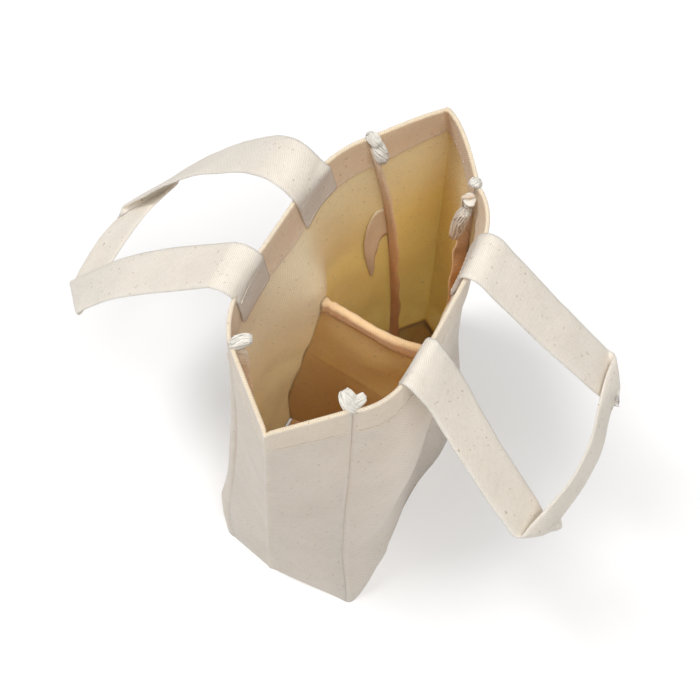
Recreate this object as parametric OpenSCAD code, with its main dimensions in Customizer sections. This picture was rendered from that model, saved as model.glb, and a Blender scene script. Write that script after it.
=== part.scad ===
// Two-bottle carrier of natural cotton canvas: two panels, one long strip that makes both
// gussets and the base, a divider, two webbing handles, the overlocked seams and the thread.
// X runs along the panels, Y from the front panel to the back one, and Z is up.
// The origin is on the floor, under the middle of the base.

/* [Body] */
// Height from the floor to the rim
body_h = 296; // [260:1:330]
// Distance between the side seams along the mouth
mouth_l = 157; // [145:1:170]
// Distance between the front and back panels' seams at the mouth, at the near end
mouth_near_w = 81; // [70:1:95]
// The same distance at the far end
mouth_far_w = 75; // [65:1:90]
// Distance between the side seams along the floor
base_l = 200; // [185:1:215]
// Distance between the panels' seams at the floor, at the near end
base_near_w = 94; // [80:1:110]
// The same distance at the far end
base_far_w = 57; // [50:1:90]
// How far the far end's seams stand over towards the front at the rim
mouth_shift = 4; // [0:1:6]
// The same distance at the floor
base_shift = 8; // [0:1:10]
// How far a panel bows out between its seams at the rim
mouth_bow = 18; // [10:1:22]
// How far a panel bows out between its seams at the floor
base_bow = 17; // [8:1:20]

/* [Gussets] */
// How far the near gusset's crease stands out past the seams at the rim
near_out_top = 36; // [25:1:45]
// The same distance at the floor
near_out_foot = 8; // [5:1:20]
// How far the far gusset's crease stands out past the seams at the rim
far_out_top = 40; // [25:1:48]
// The same distance at the floor
far_out_foot = 20; // [8:1:30]
// How far that crease bellies out besides, halfway up
far_belly = 7; // [0:1:10]

/* [Cloth] */
// Thickness of the canvas
cloth_t = 1.3; // [0.8:0.1:1.6]
// Depth of the hem round the mouth
hem_h = 29; // [22:1:36]
// Width of the overlocked seam allowances
seam_w = 9; // [6:1:12]

/* [Divider] */
// Height of the divider's top edge
divider_h = 214; // [150:1:240]
// Depth of the hem along the divider's top
divider_hem_h = 16; // [10:1:25]
// How far the divider's top leans towards the far end
divider_lean = 8; // [0:1:15]
// How far the divider draws the back panel in at its top
back_draw = 22; // [10:1:28]
// How far the divider draws the front panel in at its top
front_draw = 7; // [0:1:20]

/* [Handles] */
// Width of the webbing
strap_w = 32; // [25:1:34]
// Thickness of the webbing
strap_t = 2; // [1.4:0.1:2.2]
// Distance between the middles of a handle's two legs where they are sewn on
strap_pitch = 72; // [62:1:78]
// How far the handles' middle lies past the middle of the mouth, towards the far end
strap_shift = 4; // [0:1:6]
// Length of the front handle's legs from their bend over the rim to their corners
front_leg = 118; // [90:1:140]
// Length of the back handle's legs
back_leg = 138; // [90:1:150]
// Angle of a resting leg, measured from straight up
leg_angle = 139; // [125:1:145]
// Length of the front handle's run between its corners
front_run = 106; // [90:1:115]
// Length of the back handle's run between its corners
back_run = 78; // [76:1:100]

/* [Label] */
// Length of the care label down the seam
label_h = 40; // [25:1:60]
// Width that the care label stands out of the seam
label_w = 15; // [10:1:20]
// Height of the care label's top
label_top = 207; // [150:1:240]

/* [Hidden] */

// Gap left between sewn pieces, and under the handles' bends
sewn_gap = 0.3;
// Height over which the wall steps from one layer to the hem's layers
hem_step = 0.6;
// Layers of cloth in a hem, and in an overlocked seam
hem_layers = 3;
seam_layers = 2;
// Thickness and seat of the sewing thread, and its distance from a hem's edge
thread_t = 0.6;
thread_seat = 0.2;
thread_in = 3;
// Radius of a tuft, its height, the tall one's height, and the drop from the rim to the seams' ends
tuft_r = 6;
tuft_h = 11;
tall_tuft_h = 16;
tuft_drop = 8;
// Thickness of the folded care label
label_t = 0.8;
// Straight stretch of a handle over the rim, the bend after it, and its corner's radius
over_l = 8;
over_r = 12;
corner_r = 18;
// Length of a run over which the webbing turns onto its edge
turn_l = 12;

hem_z = body_h - hem_h;
hem_t = hem_layers * cloth_t;
seam_t = seam_layers * cloth_t;
divider_hem_z = divider_h - divider_hem_h;

// A gusset's two halves lie slanted, so their thickness along X is greater than the cloth's
gusset_skew_share = 1.3;
// Bow of each half of the front panel, and of the back one, up the body: share of the height,
// then share of the bow between base_bow and mouth_bow
front_near_shares = [[0, 0.6], [0.2, 0.95], [0.44, 1.38], [0.68, 1.53], [0.85, 1.3], [1, 1.08]];
front_far_shares = [[0, 1.12], [0.2, 0.3], [0.44, 0.32], [0.68, 0.65], [0.85, 0.7], [1, 1.08]];
back_shares = [[0, 1], [1, 0.9]];
// Draw of the divider on each panel: share of the divider's height, then share of the draw
front_draw_shares = [[0, 0.36], [0.28, 1.14], [0.6, 1], [1, 1]];
back_draw_shares = [[0, 0], [0.21, 0.05], [0.56, 0.42], [0.84, 0.84], [1, 1]];
// Share of a panel's half width over which that draw reaches to either side, and over which
// the front panel passes from its near bow to its far one
draw_reach_share = 0.45;
bow_reach_share = 0.27;
// Direction in which a side seam's allowance points into the bag
seam_way_shares = [-0.35, -0.94];
// How deep a tuft's lobes are, as a share of its radius
lobe_share = 0.14;
// How far a tuft's middle stands in from its seam's end, as a share of its radius
tuft_in_share = 0.35;
// Heading of a resting handle where it leaves its axis, measured from straight up
leave_angle = 60;
// Tilt of a resting run's lower edge, out from straight down
run_tilt = 14;
// Angle from a tuft's pole to its first ring
first_ring_angle = 25;

// Counts of the faces along each form
panel_cols = 24;
panel_rows = 8;
gusset_cols = 12;
base_rows = panel_cols;
strap_cols = 6;
arc_steps = 6;
tuft_cols = 16;
tuft_rows = 8;
tuft_lobes = 3;

low_zs = [for (i = [0:panel_rows]) divider_h * i / panel_rows];
high_zs = [
    mix(divider_h, hem_z, 1 / 3), mix(divider_h, hem_z, 2 / 3),
    hem_z - hem_step, hem_z, (hem_z + body_h) / 2, body_h
];
row_zs = concat(low_zs, high_zs);

// Value a share t of the way from a to b
function mix(a, b, t) = a + (b - a) * t;

// Unit vector along v
function unit(v) = v / norm(v);

// Items of a list in reverse order
function reversed(list) = [for (i = [len(list) - 1:-1:0]) list[i]];

// Half of the distance between the side seams at height z
function seam_x(z) = mix(base_l, mouth_l, z / body_h) / 2;

// Distance of a panel's seam from the middle plane at height z; side is -1 front and 1 back,
// and end is -1 near and 1 far
function seam_y(side, end, z) =
    end > 0 ? mix(base_far_w, mouth_far_w, z / body_h) / 2 - side * mix(base_shift, mouth_shift, z / body_h)
        : mix(base_near_w, mouth_near_w, z / body_h) / 2;

// Thickness of a wall at height z, which is greater in the hem
function wall(z) = z < hem_z ? cloth_t : hem_t;

// How far the divider draws a panel in at height z
function draw_in(side, z) =
    let (depth = side > 0 ? back_draw : front_draw)
    z <= divider_h ? depth * lookup(z / divider_h, side > 0 ? back_draw_shares : front_draw_shares)
        : z < hem_z ? depth * (hem_z - z) / (hem_z - divider_h) : 0;

// Smooth step from 0 at t = -1 to 1 at t = 1
function eased(t) = (1 + sin(90 * max(-1, min(1, t)))) / 2;

// Shape of that draw at a distance u from the divider: 1 at the divider, 0 beyond its reach
function draw_shape(u) = eased(1 - 2 * abs(u) / draw_reach_share);

// How far a panel bows out at height z, about u across it from the divider
function bow(side, u, z) =
    let (h = z / body_h)
    mix(base_bow, mouth_bow, h) * (side > 0 ? lookup(h, back_shares)
        : mix(lookup(h, front_near_shares), lookup(h, front_far_shares), eased(u / bow_reach_share)));

// Distance of a panel's outer face from the middle plane; u is -1 at its near seam, 1 at its far one
function panel_y(side, u, z) =
    let (from_divider = u - divider_x(z) / seam_x(z))
    mix(seam_y(side, -1, z), seam_y(side, 1, z), (u + 1) / 2)
    + bow(side, from_divider, z) * (1 - pow(u, 4))
    - draw_in(side, z) * draw_shape(from_divider);

// Outline at height z of a layer that follows a panel, from depth low to depth high inside its face
function layer_outline(side, z, u0, u1, cols, low, high) =
    let (us = [for (i = [0:cols]) mix(u0, u1, i / cols)])
    concat(
        [for (u = us) [u * seam_x(z), panel_y(side, u, z) - low, z]],
        [for (u = reversed(us)) [u * seam_x(z), panel_y(side, u, z) - high, z]]
    );

// Edge of a gusset's cloth beside a panel
function gusset_y(side, end, z) = seam_y(side, end, z) - wall(z) - sewn_gap;

// Place along Y of the point w across a gusset, from -1 at the front panel to 1 at the back one
function across_gusset(end, z, w) = w * gusset_y(w < 0 ? -1 : 1, end, z);

// How far a gusset's crease stands out at height z
function gusset_out(end, z) =
    end > 0 ? mix(far_out_foot, far_out_top, z / body_h) + far_belly * sin(180 * z / body_h)
        : mix(near_out_foot, near_out_top, z / body_h);

// Outline of a gusset at height z, across its width, with its inner face raised by lift
function gusset_outline(end, z, lift) =
    let (ws = [for (i = [0:gusset_cols]) 2 * i / gusset_cols - 1])
    concat(
        [for (w = ws) [gusset_x(end, z, w), across_gusset(end, z, w), z]],
        [for (w = reversed(ws))
            [gusset_x(end, z, w) - end * gusset_skew_share * wall(z), across_gusset(end, z, w), z + lift]]
    );

function gusset_x(end, z, w) = end * (seam_x(z) + gusset_out(end, z) * (1 - abs(w)));

// Outline across the base a share s of the way from its near end to its far end
function base_outline(s) =
    let (ws = [for (i = [0:gusset_cols]) 2 * i / gusset_cols - 1])
    concat(
        [for (w = ws) base_point(s, w, 0)],
        [for (w = reversed(ws)) base_point(s, w, cloth_t)]
    );

function base_point(s, w, z) =
    [mix(gusset_x(-1, 0, w), gusset_x(1, 0, w), s), w * base_y(2 * s - 1, w), z];

// Edge of the base beside a panel's foot
function base_y(u, w) = foot_y(w < 0 ? -1 : 1, u, cloth_t) - sewn_gap;

// Innermost place of a panel's inner face from the floor up to a height
function foot_y(side, u, height) = min(panel_y(side, u, 0), panel_y(side, u, height)) - cloth_t;

// Middle of the divider along X at height z
function divider_x(z) = divider_lean * z / divider_h;

// Edge of the divider at a panel, along the panel's own rows, off away from the divider's middle;
// it stops short of the base seam where it passes it
function divider_y(side, z, off) =
    z < base_seam_top + sewn_gap ? foot_y(side, off / seam_x(0), base_seam_top) - seam_w - 3 * sewn_gap
        : lookup(z, [for (r = row_zs) [r, panel_y(side, (divider_x(r) + off) / seam_x(r), r)]])
            - cloth_t - sewn_gap;

base_seam_top = cloth_t + sewn_gap + seam_t;

// Outer corner of a side seam's allowance in plan, as if the panel were the back one
function seam_root(side, end, z) =
    [end * (seam_x(z) - gusset_skew_share * wall(z) - sewn_gap), gusset_y(side, end, z) - sewn_gap];

// A vector in the directions of a side seam's allowance: along it, then across it
function seam_vector(end, along, across) = [
    end * (seam_way_shares.x * along + seam_way_shares.y * across),
    seam_way_shares.y * along - seam_way_shares.x * across
];

function seam_outline(side, end, z) =
    let (p = seam_root(side, end, z))
    [for (q = [[0, 0], [seam_w, 0], [seam_w, seam_t], [0, seam_t]])
        let (v = p + seam_vector(end, q.x, q.y)) [v.x, v.y, z]];

// Middle of one of a handle's two legs along X; end is -1 near and 1 far
function leg_x(end) = strap_shift + end * strap_pitch / 2;

// Distance of a panel's outer face from the middle plane where a leg passes over the rim
function seat_y(side, end) = panel_y(side, 2 * leg_x(end) / mouth_l, body_h);

// A handle's axis: the mean of its two ends' places in the mouth, just over the rim
function axis_y(side) = (seat_y(side, -1) + seat_y(side, 1)) / 2 - hem_t - sewn_gap - strap_t / 2;
axis_z = body_h + sewn_gap + strap_t / 2;

// Direction in the plane of a leg at an angle from straight up
function heading(a) = [0, sin(a), cos(a)];

// One half of a handle from its axis to the middle of its run: [middle, width direction]
function half_handle(leg, run) =
    let (
        arc_angles = [for (i = [0:arc_steps]) mix(leave_angle, leg_angle, i / arc_steps)],
        arc_foot = over_l * heading(leave_angle),
        arc = [for (a = arc_angles) arc_foot
            + over_r * [0, cos(leave_angle) - cos(a), sin(a) - sin(leave_angle)]],
        leg_way = heading(leg_angle),
        leg_top = arc[arc_steps],
        side = [1, 0, 0],
        root = side * strap_pitch / 2,
        corner = side * run / 2 + leg_top + leg * leg_way,
        leg_end = corner - corner_r * leg_way,
        turn = leg_end - corner_r * side,
        run_way = heading(180 - run_tilt)
    )
    concat(
        [[root, side]],
        [for (p = arc) [root + p, side]],
        [for (t = [1 / 3, 2 / 3]) [mix(root + leg_top, leg_end, t), side]],
        [for (i = [0:arc_steps]) let (
            a = 90 * i / arc_steps,
            way = cos(a) * side + sin(a) * leg_way
        ) [turn + corner_r * way, way]],
        [[corner - (corner_r + turn_l) * side, unit(leg_way + run_way)]],
        [[corner - side * run / 2, run_way]]
    );

// Points in the other half, which mirrors the first
function mirrored(half) =
    [for (s = reversed([for (i = [0:len(half) - 2]) half[i]])) [
        [-s[0].x, s[0].y, s[0].z], [-s[1].x, s[1].y, s[1].z]
    ]];

// Cross-sections of webbing along its stations
function strap_outlines(stations) =
    let (last = len(stations) - 1)
    [for (i = [0:last]) let (
        along = stations[min(i + 1, last)][0] - stations[max(i - 1, 0)][0],
        across = stations[i][1] * strap_w / 2,
        out = unit(cross(along, across)) * strap_t / 2,
        p = stations[i][0]
    ) [p - across + out, p + across + out, p + across - out, p - across - out]];

// Closed solid through cross-sections of equal point counts
module loft(outlines) {
    n = len(outlines[0]);
    last = len(outlines) - 1;
    sides = [for (i = [0:last - 1]) for (j = [0:n - 1]) let (
        k = (j + 1) % n
    ) each [
        [i * n + j, (i + 1) * n + j, (i + 1) * n + k],
        [i * n + j, (i + 1) * n + k, i * n + k]
    ]];
    half = n / 2;
    caps = [for (j = [0:half - 2]) each [
        [j, j + 1, n - 2 - j], [j, n - 2 - j, n - 1 - j],
        [last * n + j, last * n + n - 2 - j, last * n + j + 1],
        [last * n + j, last * n + n - 1 - j, last * n + n - 2 - j]
    ]];
    polyhedron([for (o = outlines) each o], concat(sides, caps));
}

// Draws its children on the back side as they are, or on the front side mirrored
module on_side(side) {
    mirror([0, side > 0 ? 0 : 1, 0]) children();
}

// A panel with its hem turned in round the mouth
module panel(side) {
    on_side(side)
        loft([for (z = row_zs) layer_outline(side, z, -1, 1, panel_cols, 0, wall(z))]);
}

// The strip of cloth that is the near gusset, the base and the far gusset
module strip() {
    loft(concat(
        [for (z = reversed(row_zs)) gusset_outline(-1, z, z > 0 ? 0 : cloth_t)],
        [for (i = [1:base_rows - 1]) base_outline(i / base_rows)],
        [for (z = row_zs) gusset_outline(1, z, z > 0 ? 0 : cloth_t)]
    ));
}

// The divider with its top edge hemmed
module divider_sheet() {
    foot = cloth_t + sewn_gap;
    step_z = base_seam_top + sewn_gap;
    zs = concat(
        [foot, step_z - thread_seat, step_z],
        [for (z = low_zs) if (z > step_z && z < divider_hem_z - hem_step) z],
        [divider_hem_z - hem_step, divider_hem_z, divider_h]
    );
    loft([for (z = zs) let (
        t = z < divider_hem_z ? cloth_t / 2 : cloth_t,
        x = divider_x(z)
    ) [
        [x - t, -divider_y(-1, z, -t), z], [x - t, divider_y(1, z, -t), z],
        [x + t, divider_y(1, z, t), z], [x + t, -divider_y(-1, z, t), z]
    ]]);
}

// A handle past the rim, at rest
module handle(side, leg, run) {
    half = half_handle(leg, run);
    translate([strap_shift, side * axis_y(side), axis_z])
        on_side(side) loft(strap_outlines(concat(half, mirrored(half))));
}

// The end of a handle that is sewn to the hem; end is -1 near and 1 far
module handle_end(side, end) {
    zs = [hem_z, (hem_z + body_h) / 2, body_h];
    seat = hem_t + sewn_gap;
    on_side(side)
        loft([for (z = zs) layer_outline(
            side, z, (leg_x(end) - strap_w / 2) / seam_x(z), (leg_x(end) + strap_w / 2) / seam_x(z),
            strap_cols, seat, seat + strap_t
        )]);
}

// The overlocked allowance of a side seam, from the base up to its tuft
module side_seam(side, end) {
    foot = base_seam_top + sewn_gap;
    zs = concat(
        [foot], [for (z = row_zs) if (z > foot && z <= hem_z) z], [body_h - tuft_drop]
    );
    on_side(side) loft([for (z = zs) seam_outline(side, end, z)]);
}

// The overlocked allowance along a panel's foot
module base_seam(side) {
    on_side(side)
        loft([for (i = [1:panel_cols - 1]) let (
            u = mix(-1, 1, i / panel_cols),
            x = u * base_l / 2,
            y = foot_y(side, u, base_seam_top) - 2 * sewn_gap,
            z = cloth_t + sewn_gap
        ) [[x, y, z], [x, y - seam_w, z], [x, y - seam_w, base_seam_top], [x, y, base_seam_top]]]);
}

// The bunched end of a side seam's allowance at the mouth, as a lobed lump
module tuft(side, end, height) {
    z = body_h - tuft_drop;
    root = seam_root(side, end, z)
        + seam_vector(end, seam_w / 2 + tuft_in_share * tuft_r, seam_t / 2);
    on_side(side) translate([root.x, root.y, z + sewn_gap])
        loft([for (i = [0:tuft_rows]) let (
            a = mix(first_ring_angle, 180 - first_ring_angle, i / tuft_rows),
            h = height * (cos(first_ring_angle) - cos(a)) / (2 * cos(first_ring_angle))
        ) [for (j = [0:tuft_cols - 1]) let (
            b = -360 * j / tuft_cols,
            r = tuft_r * sin(a) * (1 + lobe_share * (cos(tuft_lobes * b) - 1))
        ) [r * cos(b), r * sin(b), h]]]);
}

// The care label, folded double and sewn into a side seam
module label() {
    z = label_top - label_h;
    root = seam_root(1, 1, z) + seam_vector(1, seam_w + sewn_gap + label_t / 2, seam_t / 2);
    translate([root.x - label_w, root.y - label_t / 2, z]) cube([label_w, label_t, label_h]);
}

// A run of thread along a panel's outer face, between heights z and z + thread_t
module panel_thread(side, z) {
    on_side(side)
        loft([for (i = [0:panel_cols]) let (
            u = mix(-1, 1, i / panel_cols),
            x = u * seam_x(z),
            y = max(panel_y(side, u, z), panel_y(side, u, z + thread_t)) + thread_seat
        ) [[x, y, z], [x, y, z + thread_t], [x, y + thread_t, z + thread_t], [x, y + thread_t, z]]]);
}

// A run of thread along a gusset's outer face
module gusset_thread(end, z) {
    loft([for (i = [0:gusset_cols]) let (
        w = 2 * i / gusset_cols - 1,
        x = gusset_x(end, z, w) + end * thread_seat,
        y = across_gusset(end, z, w),
        out = x + end * thread_t
    ) end > 0 ? [[x, y, z], [out, y, z], [out, y, z + thread_t], [x, y, z + thread_t]]
        : [[x, y, z], [x, y, z + thread_t], [out, y, z + thread_t], [out, y, z]]]);
}

// A run of thread across a handle's sewn end, z above the hem's edge
module end_thread(side, end, z) {
    half = strap_w / 2 - thread_in;
    seat = hem_t + sewn_gap + strap_t + thread_seat;
    on_side(side)
        loft([for (z1 = [z, z + thread_t]) layer_outline(
            side, z1, (leg_x(end) - half) / seam_x(z1), (leg_x(end) + half) / seam_x(z1),
            strap_cols, seat, seat + thread_t
        )]);
}

module front_panel() { color([0.88, 0.83, 0.76]) panel(-1); }
module back_panel() { color([0.90, 0.86, 0.79]) panel(1); }
module gusset_strip() { color([0.84, 0.78, 0.70]) strip(); }
module divider() { color([0.86, 0.79, 0.66]) divider_sheet(); }
module front_handle() { color([0.93, 0.89, 0.83]) handle(-1, front_leg, front_run); }
module back_handle() { color([0.93, 0.89, 0.83]) handle(1, back_leg, back_run); }
module front_handle_near_end() { color([0.92, 0.88, 0.82]) handle_end(-1, -1); }
module front_handle_far_end() { color([0.92, 0.88, 0.82]) handle_end(-1, 1); }
module back_handle_near_end() { color([0.92, 0.88, 0.82]) handle_end(1, -1); }
module back_handle_far_end() { color([0.92, 0.88, 0.82]) handle_end(1, 1); }
module near_front_seam() { color([0.80, 0.72, 0.60]) side_seam(-1, -1); }
module near_back_seam() { color([0.80, 0.72, 0.60]) side_seam(1, -1); }
module far_front_seam() { color([0.80, 0.72, 0.60]) side_seam(-1, 1); }
module far_back_seam() { color([0.80, 0.72, 0.60]) side_seam(1, 1); }
module base_front_seam() { color([0.78, 0.68, 0.54]) base_seam(-1); }
module base_back_seam() { color([0.78, 0.68, 0.54]) base_seam(1); }
module near_front_tuft() { color([0.96, 0.94, 0.90]) tuft(-1, -1, tall_tuft_h); }
module near_back_tuft() { color([0.96, 0.94, 0.90]) tuft(1, -1, tuft_h); }
module far_front_tuft() { color([0.96, 0.94, 0.90]) tuft(-1, 1, tuft_h); }
module far_back_tuft() { color([0.96, 0.94, 0.90]) tuft(1, 1, tuft_h); }
module care_label() { color([0.93, 0.88, 0.78]) label(); }

module hem_thread() {
    color([0.94, 0.91, 0.84]) {
        for (side = [-1, 1]) panel_thread(side, hem_z + thread_in);
        for (end = [-1, 1]) gusset_thread(end, hem_z + thread_in);
    }
}

module handle_thread() {
    color([0.94, 0.91, 0.84])
        for (side = [-1, 1]) for (end = [-1, 1])
            for (z = [hem_z + thread_in, body_h - thread_in - thread_t]) end_thread(side, end, z);
}

module divider_thread() {
    z = divider_hem_z + thread_in;
    x = divider_x(z) - cloth_t - thread_seat - thread_t;
    front = -divider_y(-1, divider_h, -cloth_t);
    color([0.94, 0.91, 0.84])
        translate([x, front, z])
            cube([thread_t, divider_y(1, divider_h, -cloth_t) - front, thread_t]);
}

front_panel();
back_panel();
gusset_strip();
divider();
front_handle();
back_handle();
front_handle_near_end();
front_handle_far_end();
back_handle_near_end();
back_handle_far_end();
near_front_seam();
near_back_seam();
far_front_seam();
far_back_seam();
base_front_seam();
base_back_seam();
near_front_tuft();
near_back_tuft();
far_front_tuft();
far_back_tuft();
care_label();
hem_thread();
handle_thread();
divider_thread();
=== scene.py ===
"""Two-bottle carrier of natural cotton canvas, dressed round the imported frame."""
import math

import bpy
import numpy as np
from mathutils import Matrix, Vector


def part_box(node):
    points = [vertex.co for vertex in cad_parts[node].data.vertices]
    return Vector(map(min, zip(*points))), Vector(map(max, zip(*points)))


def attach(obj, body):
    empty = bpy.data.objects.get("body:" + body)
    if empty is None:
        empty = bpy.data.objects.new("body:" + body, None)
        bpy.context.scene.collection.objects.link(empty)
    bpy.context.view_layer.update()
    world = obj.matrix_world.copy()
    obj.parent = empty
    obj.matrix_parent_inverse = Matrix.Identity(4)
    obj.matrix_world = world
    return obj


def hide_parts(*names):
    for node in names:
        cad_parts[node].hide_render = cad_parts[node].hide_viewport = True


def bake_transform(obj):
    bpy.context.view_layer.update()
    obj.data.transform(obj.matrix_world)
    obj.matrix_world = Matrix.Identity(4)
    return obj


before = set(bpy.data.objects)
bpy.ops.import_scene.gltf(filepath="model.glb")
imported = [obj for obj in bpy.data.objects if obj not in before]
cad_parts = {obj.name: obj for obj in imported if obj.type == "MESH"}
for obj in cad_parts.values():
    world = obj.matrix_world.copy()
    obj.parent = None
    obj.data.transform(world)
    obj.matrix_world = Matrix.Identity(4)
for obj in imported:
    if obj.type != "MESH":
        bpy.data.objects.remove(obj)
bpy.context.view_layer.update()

mm = 0.001
deg = math.radians(1)

# Sizes that follow the frame
rim_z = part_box("front_panel")[1].z
hem_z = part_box("front_handle_near_end")[0].z
divider_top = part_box("divider")[1].z

# Cloth
cloth_t = 0.95 * mm
hem_t = 3 * cloth_t
hem_flare = 0.8 * mm
hem_stitch_h = 3 * mm
hem_edge_r = 0.35 * mm
hem_edge_gap = 0.4 * mm
flare_fade = 3.5 * mm
pucker_h = 0.25 * mm
pucker_sink = 0.3 * mm
pucker_pitch = 6.3 * mm
pucker_fade = 4 * mm
seam_w = 8 * mm
seam_t = 1.7 * mm
seam_foot_gap = 2 * mm
seam_rim_gap = 8 * mm
seam_gap = 0.4 * mm
groove_r = 1.6 * mm
groove_gap = 0.25 * mm
foot_r = 1.5 * mm
roll_r = 8 * mm
base_inset = cloth_t + 2 * mm
base_seam_gap = 0.6 * mm
base_half_w = 45 * mm
gusset_half_w = 50 * mm
panel_half_w = 78 * mm
panel_edge_w = 0.2 * mm
crease_r = 0.8 * mm
base_l = 200 * mm
base_fold_z = 57 * mm
divider_w = 90 * mm
divider_hem_h = 16 * mm
divider_puff = 5.5 * mm
divider_end_gap = 1.3 * mm
divider_hem_rise = 3 * mm
divider_stitch_h = 0.2 * mm
divider_foot_x = -1 * mm
divider_top_x = 8 * mm
label_t = 0.8 * mm
label_w = 15 * mm
label_l = 60 * mm
label_gap = 1.2 * mm

# How far the cloth swells, folds and ripples
panel_relief = 0.9 * mm
panel_fold = 2.5 * mm
gusset_relief = 0.8 * mm
gusset_fold = 4 * mm
gusset_bulge = 1.6 * mm
crease_ridge = 0.5 * mm
base_relief = 0.15 * mm
divider_relief = 0.9 * mm
divider_sag = 2.5 * mm
divider_crease = 0.8 * mm
divider_crease_z = 125 * mm
divider_crease_drop = 18 * mm
divider_crease_w = 2.5 * mm
webbing_relief = 0.35 * mm
label_bend = 1.6 * mm
fold_fade = 22 * mm
fold_rise = 25 * mm
belly_from = 150 * mm
belly_rise = 140 * mm
# Shortest and longest ripples of the soft pieces
panel_ripples = (28 * mm, 120 * mm)
gusset_ripples = (25 * mm, 110 * mm)
base_ripples = (20 * mm, 60 * mm)
divider_ripples = (40 * mm, 110 * mm)
webbing_ripples = (22 * mm, 80 * mm)
seam_ripples = (26 * mm, 90 * mm)
seam_wave_l = 7 * mm
# Heights above the foot and under the rim over which ripples and bulges come in
panel_calm = (30 * mm, 20 * mm)
gusset_calm = (25 * mm, 20 * mm)
bulge_calm = (40 * mm, 60 * mm)
seam_calm = 60 * mm
# How far down the painted warm shade inside the bag takes to come in, and the tufts' height without it
cloth_shade_l = 150 * mm
edge_shade_l = 120 * mm
edge_top_shade_l = 22 * mm
divider_shade_l = 100 * mm
divider_top_shade_l = 14 * mm
tuft_shade_l = 50 * mm
tuft_lit_h = 14 * mm

# Webbing
strap_w = 32 * mm
strap_t = 2 * mm
strap_step = 1.1 * mm
fold_r = 2.2 * mm
sewn_l = 30 * mm
sewn_fade = 7 * mm

# Threads
stitch_pitch = 3.1 * mm
stitch_l = 2.5 * mm
stitch_r = 0.28 * mm
end_stitch_low = 3 * mm
end_stitch_high = 5 * mm
loop_pitch = 1.9 * mm
loop_r = 0.30 * mm
lobe_step = 0.7 * mm
label_step = 0.3 * mm

# Steps of the cloth's grid, and of the slopes taken on it
cloth_step = 3.4 * mm
foot_step = 1.2 * mm
rim_step = 1 * mm
hem_edge_step = 0.6 * mm
under_hem_step = 0.8 * mm
slope_step = 0.5 * mm

# Side of each panel along Y, and of each gusset along X
SIDES = {"front": -1, "back": 1}
ENDS = {"near": -1, "far": 1}
# Seams of the panels from the foot up: height, X and Y in millimetres
SEAMS = {
    ("front", "near"): [(0, -104.5, -51), (30, -100, -48), (57, -95.5, -43.5), (105, -90, -41),
                        (200, -83, -41.5), (296, -78, -41.7)],
    ("back", "near"): [(0, -100.5, 42), (40, -98, 45), (100, -90, 42), (192, -80.5, 38), (296, -74.7, 39.4)],
    ("back", "far"): [(0, 96, 20), (40, 95, 19.5), (120, 89, 19), (210, 84, 22), (250, 81, 26),
                      (296, 79.5, 33)],
    ("front", "far"): [(0, 96.5, -36), (60, 90.5, -37), (110, 87, -38), (210, 84.5, -39), (296, 80, -41.5)],
}
# Creases of the gussets: height, X and Y in millimetres
CREASES = {
    "near": [(0, -107.9, 9.3), (100, -110, 5), (200, -112.5, -1), (296, -113.5, -5.6)],
    "far": [(0, 119, 0), (60, 123, 0), (120, 125, 0), (200, 126, 0), (260, 124.5, 0), (296, 119, 0)],
}
# How far the panels bow out: height, and the bow of the near half and of the far one in millimetres
BOWS = {
    "front": [(0, 10, 19), (60, 16, 5), (130, 24, 5.5), (200, 27, 11.5), (250, 23, 12.5), (296, 19.5, 19.5)],
    "back": [(0, 17, 17), (100, 18, 18), (215, 17, 17), (296, 16, 16)],
}
BOW_POWERS = {"front": 5, "back": 4}
# How far the divider draws the panels in: height, and the depth in millimetres
DRAWS = {
    "front": [(0, 2.5), (60, 8), (130, 7), (215, 7), (245, 3.5), (267, 0), (296, 0)],
    "back": [(0, -5), (38, -4), (72, 1), (103, 5.4), (147, 11.5), (178, 15.6), (212, 20.5), (220, 20.5),
             (242, 13), (267, 3), (296, 0)],
}
draw_u = 0.06
draw_reach = 0.27
# How round the panels turn out at their seams: height, and the near and the far depth in millimetres
ROLLS = {
    "front": [(0, 3, 1), (60, 2.5, 1), (296, 1.5, 1)],
    "back": [(0, 9, 1), (60, 6, 1), (200, 5, 1), (265, 1.5, 1), (296, 0, 0)],
}
# How far the far gusset's front and back halves belly at the rim, as X and Y in millimetres
RIM_BELLIES = [(2.9, -2.8), (0.9, 1.1)]
# Ways in which the seam allowances point into the bag, as X and Y
SEAM_WAYS = {("front", "near"): (0.45, 0.89), ("back", "near"): (0.45, -0.89),
             ("back", "far"): (-0.30, -0.95), ("front", "far"): (-0.35, 0.94)}
# Bunched ends at the rim: lobes as a path in millimetres, half a width, strands and their radius
TUFTS = {
    ("front", "near"): [
        ([(-75.6, -40, 290), (-74.6, -38, 295), (-73.2, -35, 299), (-71.3, -31.6, 301)], 4.6, 34, 0.42),
        ([(-74.6, -40.4, 292), (-73, -40.4, 296), (-70.6, -42, 298.5), (-67.6, -43.2, 299.5)],
         2.9, 22, 0.4)],
    ("back", "near"): [
        ([(-74.3, 36.8, 292), (-72.4, 34.8, 296), (-69.4, 31.2, 298.3), (-67, 27.6, 298)], 3.7, 30, 0.42)],
    ("back", "far"): [
        ([(80.5, 32.5, 293), (79.8, 30.5, 296), (78.4, 27, 296.5), (77.4, 24, 294)], 3.3, 26, 0.42),
        ([(79.6, 28.4, 293), (78.2, 24.6, 291), (77, 22, 286), (76.6, 21, 280)], 4.0, 30, 0.42)],
    ("front", "far"): [
        ([(82, -38.5, 292), (81, -37.6, 296), (79, -37, 298), (77, -36.6, 297)], 3.0, 24, 0.42),
        ([(76.5, -36.5, 273), (75.6, -34.6, 266), (74.4, -32.6, 252), (72, -31.2, 238)], 4.2, 36, 0.45)],
}
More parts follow.
